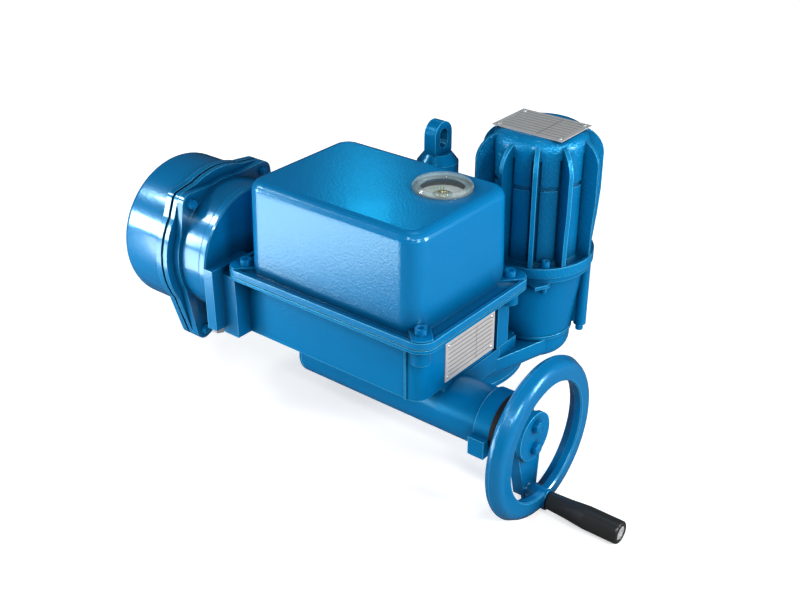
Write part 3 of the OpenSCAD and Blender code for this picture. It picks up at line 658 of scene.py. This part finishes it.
# %% [markdown]
# ## The dial's drum
#
# The white dial is the top of a shallow drum, close under the glass. The drum starts as a cylinder.
# Its two ends are inset and joined by a bridge, which leaves a hole for the post, and its rim is
# rounded.

# %% White drum under the glass
DRUM_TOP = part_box("window_glass")[0].z - 0.0034
DRUM_R = 0.027
POST_HOLE = 0.0044


def over_dial(height, aside=0.0):
    """A point over the dial's centre, or to the right of it."""
    return (dial_centre.x + aside, dial_centre.y, height)


bpy.ops.mesh.primitive_cylinder_add(vertices=96, radius=DRUM_R, depth=DRUM_TOP - dial_low.z,
                                    location=over_dial((DRUM_TOP + dial_low.z) / 2))
drum = start("dial_drum")
pick("FACE", lambda middle, normal: abs(normal.z) > ALIGNED)
bpy.ops.mesh.inset(thickness=DRUM_R - POST_HOLE, use_individual=True)
bpy.ops.mesh.bridge_edge_loops()
pick("EDGE", lambda middle, normal: abs(normal.z) < CROSSWISE and
     (middle.xy - dial_centre.xy).length > DRUM_R - 0.001)
bpy.ops.mesh.bevel(offset=0.0006, segments=3, affect="EDGES")
done(drum, dial, "frame", "white_dial", "dial_plate")

# %% [markdown]
# ## The dial's pointer
#
# The brass pointer turns above the drum, on a post that comes up from the gear inside. The post's
# top is extruded, scaled out and raised to a thin collar. A flattened torus makes the round nut on
# it and a slim slab the hand, and a dark washer lies below them.

# %% Brass pointer above the drum
pointer_low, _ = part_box("dial_pointer")
POST_R = 0.0035
POST_TOP = DRUM_TOP + 0.001
COLLAR_TIMES = 2.7  # the collar on the post, counted in post radii
NUT_RING_R, NUT_TUBE_R = 0.0056, 0.0024
HAND_SIDE, HAND_SLIM = 0.012, 0.16  # the hand is a square plane made this much slimmer
HAND_AT = 0.0158  # from the dial's centre to the hand's middle
WASHER_R, WASHER_H = 0.0108, 0.0007
bpy.ops.mesh.primitive_cylinder_add(vertices=48, radius=POST_R, depth=POST_TOP - pointer_low.z,
                                    location=over_dial((POST_TOP + pointer_low.z) / 2))
post = start("pointer_post")
pick("FACE", lambda middle, normal: normal.z > ALIGNED)
extrude_up(0)
bpy.ops.transform.resize(value=(COLLAR_TIMES, COLLAR_TIMES, 1))
extrude_up(0.0004)
bpy.ops.object.mode_set(mode="OBJECT")

nut_place = over_dial(DRUM_TOP + 0.0018)
bpy.ops.mesh.primitive_torus_add(major_segments=40, minor_segments=14, major_radius=NUT_RING_R,
                                 minor_radius=NUT_TUBE_R, location=nut_place)
nut = start("pointer_nut")
bpy.ops.mesh.select_all(action="SELECT")
bpy.ops.transform.resize(value=(1, 1, 0.5), center_override=nut_place)
bpy.ops.object.mode_set(mode="OBJECT")

bpy.ops.mesh.primitive_plane_add(size=HAND_SIDE, location=over_dial(POST_TOP, aside=HAND_AT))
hand = start("pointer_hand")
bpy.ops.mesh.select_all(action="SELECT")
bpy.ops.transform.resize(value=(1, HAND_SLIM, 1), center_override=over_dial(DRUM_TOP))
extrude_up(0.0006)
bpy.ops.object.mode_set(mode="OBJECT")
pointer = joined(post, nut, hand)
bpy.ops.object.mode_set(mode="EDIT")
done(pointer, brass, "pointer", "brass", "dial_pointer")

bpy.ops.mesh.primitive_cylinder_add(vertices=48, radius=WASHER_R, depth=WASHER_H,
                                    location=over_dial(DRUM_TOP + 0.0005))
washer = start("pointer_washer")
pick("EDGE", lambda middle, normal: abs(normal.z) < CROSSWISE)
bpy.ops.mesh.bevel(offset=0.0002, segments=2, affect="EDGES")
done(washer, inner_plastic, "pointer", "black_plastic")

# %% [markdown]
# ## A white floor in a white world
#
# The object is shown as in a catalogue, on a white floor that keeps a soft shadow. The camera sees a
# white floor and a white world. The floor's glow, which only the camera sees, is weaker near the
# object, where the shadow lies. Surfaces are lit by a grey world and mirror a darker one, so that
# the blue stays deep and only the lamps show in it as bright patches.

# %% Floor and world
FLOOR_Z = cad_low.z - 0.002
FLOOR_LIT, FLOOR_MIRRORED = 0.75, 0.07
GLOW_NEAR, GLOW_FAR = 0.35, 1.1  # metres from the object's axis
GLOW_WEAK, GLOW_FULL = 0.57, 1.0
WORLD_SEEN = 1.0
WORLD_LIGHT = 0.1
WORLD_MIRRORED = 0.04


def grey(value):
    """A grey as a colour with alpha."""
    return (value, value, value, 1)


bpy.ops.mesh.primitive_plane_add(size=12, location=(0, 0, FLOOR_Z))
floor = bpy.context.active_object
floor.name = "floor"
bpy.ops.object.transform_apply(location=True, rotation=True, scale=True)
paper = Finish("floor_paper", Roughness=0.9, Emission_Strength=1.0)
away = paper.node("ShaderNodeVectorMath", {"operation": "LENGTH"}, {0: paper.place()},
                  output="Value")
far = paper.node("ShaderNodeMapRange",
                 inputs={"Value": away, "From Min": GLOW_NEAR, "From Max": GLOW_FAR})
glow = paper.colours(far, grey(GLOW_WEAK), grey(GLOW_FULL))
mirrored = paper.node("ShaderNodeLightPath", output="Is Glossy Ray")
seen = paper.node("ShaderNodeLightPath", output="Is Camera Ray")
paper.feed(Base_Color=paper.colours(mirrored, grey(FLOOR_LIT), grey(FLOOR_MIRRORED)),
           Emission_Color=paper.colours(seen, grey(0.0), glow))
floor.data.materials.append(paper.material)
print("floor at a height of", round(FLOOR_Z, 4), "metres")

world = bpy.data.worlds.new("studio")
bpy.context.scene.world = world
world.use_nodes = True
sky = NodeTree(world.node_tree)
mirrored = sky.node("ShaderNodeLightPath", output="Is Glossy Ray")
seen = sky.node("ShaderNodeLightPath", output="Is Camera Ray")
unseen_sky = sky.colours(mirrored, grey(WORLD_LIGHT), grey(WORLD_MIRRORED))
whole_sky = sky.colours(seen, unseen_sky, grey(WORLD_SEEN))
sky.tree.links.new(whole_sky.output, sky.tree.nodes["Background"].inputs["Color"])

# %% [markdown]
# ## Square lamps
#
# Glossy paint shows its lamps, so their size and place matter as much as their power. Small lamps
# from the left draw hard highlights on the round cover and the hood's front, others stand at the
# camera's side and to the right, and a card of light near the floor lifts the box. The lamp
# overhead and the one at the back left are blue, because a white one turns the hood's top grey.

# %% Lamps
def lamp(name, place, aim, size, power, tint=(1.0, 1.0, 1.0)):
    """A square soft lamp at a place, pointing at aim."""
    light = bpy.data.lights.new(name, "AREA")
    light.size = size
    light.energy = power
    light.color = tint
    holder = bpy.data.objects.new(name, light)
    bpy.context.scene.collection.objects.link(holder)
    holder.location = place
    holder.rotation_mode = "QUATERNION"
    holder.rotation_quaternion = (Vector(aim) - Vector(place)).to_track_quat("-Z", "Y")
    holder.visible_camera = False


MIDDLE = (0, -0.1, 0.12)
BOX = (0.02, -0.18, 0.22)
MOTOR = (0.1, 0.05, 0.22)
MOTOR_TOP = (0.1, 0.05, 0.25)
lamp("key_front_left", (-1.25, -1.08, 0.42), MIDDLE, size=0.34, power=8)
lamp("floor_card", (-0.36, -0.6, -0.01), BOX, size=0.4, power=3.2)
lamp("high_left", (-1.1, -0.75, 1.1), MOTOR, size=0.22, power=5.5)
lamp("high_front", (0.4, -1.3, 1.35), MOTOR_TOP, size=0.22, power=4.5)
lamp("fill_right", (1.4, -0.5, 0.9), MIDDLE, size=0.3, power=10)
lamp("camera_side", (1.15, -1.1, 1.15), MOTOR_TOP, size=0.12, power=4.5)
lamp("back_right", (1.3, 0.5, 0.55), MOTOR, size=0.35, power=13)
lamp("top", (0.1, 0.2, 2.0), MIDDLE, size=0.8, power=3, tint=(0.5, 0.85, 1.0))
lamp("back_left", (-1.2, 1.3, 1.2), MIDDLE, size=0.12, power=1.0, tint=(0.02, 0.6, 1.0))

print("lamps:", len(bpy.data.lights))

# %% [markdown]
# ## The camera
#
# The camera looks down on the front right corner, as in the photograph. Its place, its direction and
# its focal length are those at which the model's corners fall where the picture shows them.

# %% Camera at the photograph's angle
CAMERA_PLACE = Vector((0.7283, -0.9892, 0.7716))
CAMERA_BACK = Vector((0.5438, -0.6861, 0.4833))
LENS, SENSOR_WIDTH = 51.75, 36  # millimetres
camera_data = bpy.data.cameras.new("camera")
camera_data.lens = LENS
camera_data.sensor_width = SENSOR_WIDTH
camera = bpy.data.objects.new("camera", camera_data)
bpy.context.scene.collection.objects.link(camera)
camera.location = CAMERA_PLACE
camera.rotation_mode = "QUATERNION"
camera.rotation_quaternion = (-CAMERA_BACK).to_track_quat("-Z", "Y")
bpy.context.scene.camera = camera
bpy.context.scene.view_settings.view_transform = "Standard"
print("camera at", [round(v, 3) for v in CAMERA_PLACE])
